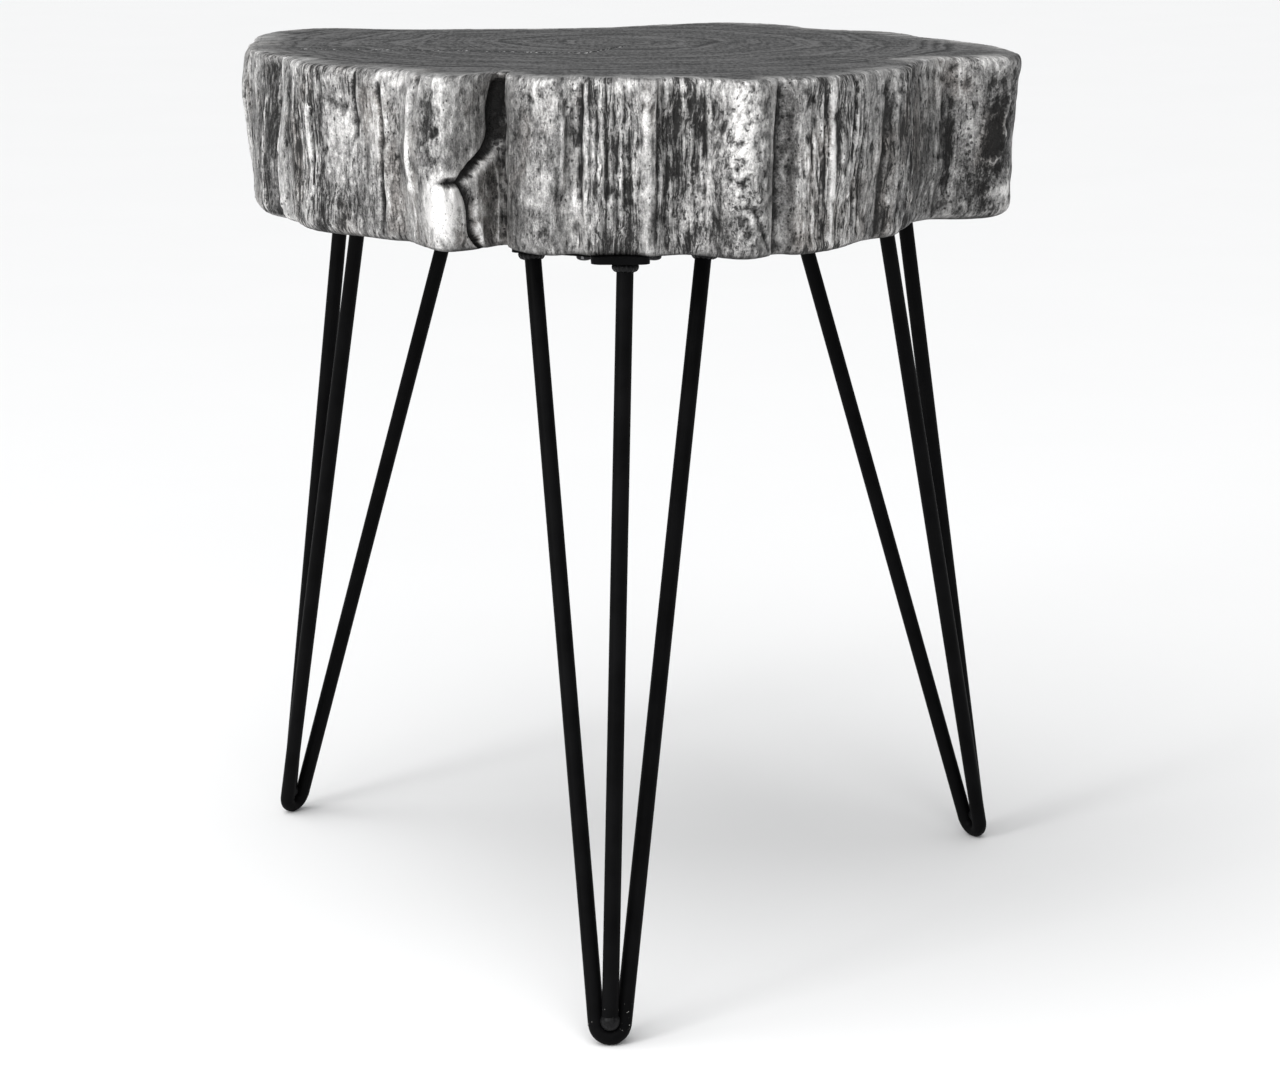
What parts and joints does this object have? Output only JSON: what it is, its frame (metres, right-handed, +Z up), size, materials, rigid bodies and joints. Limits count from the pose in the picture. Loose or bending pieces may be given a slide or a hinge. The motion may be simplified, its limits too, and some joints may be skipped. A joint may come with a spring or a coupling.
{
  "type": "side table",
  "caption": "Side table with a thick live-edge log slice top on splayed hairpin legs of bent round rod.",
  "frame": {"origin": "on the floor, under the middle of the whole table's bounding box", "axes": "+Z up; the front leg faces -Y, the right leg faces +X and back, the left leg faces -X and back"},
  "size_m": [0.504, 0.5726, 0.559],
  "materials": {
    "slab": "silver leaf with a black wash on the bark side, dark grey satin on top",
    "black_steel": "satin black powder coat",
    "weld_metal": "weld metal under the same black coat",
    "screws": "black phosphate"
  },
  "bodies": {
    "root": {"slab": "slab", "front_plate": "black_steel", "front_hairpin": "black_steel", "front_centre_rod": "black_steel", "front_plate_welds": "weld_metal", "front_foot_weld": "weld_metal", "right_plate": "black_steel", "right_hairpin": "black_steel", "right_centre_rod": "black_steel", "right_plate_welds": "weld_metal", "right_foot_weld": "weld_metal", "left_plate": "black_steel", "left_hairpin": "black_steel", "left_centre_rod": "black_steel", "left_plate_welds": "weld_metal", "left_foot_weld": "weld_metal", "plate_screws": "screws"}
  },
  "joints": []
}
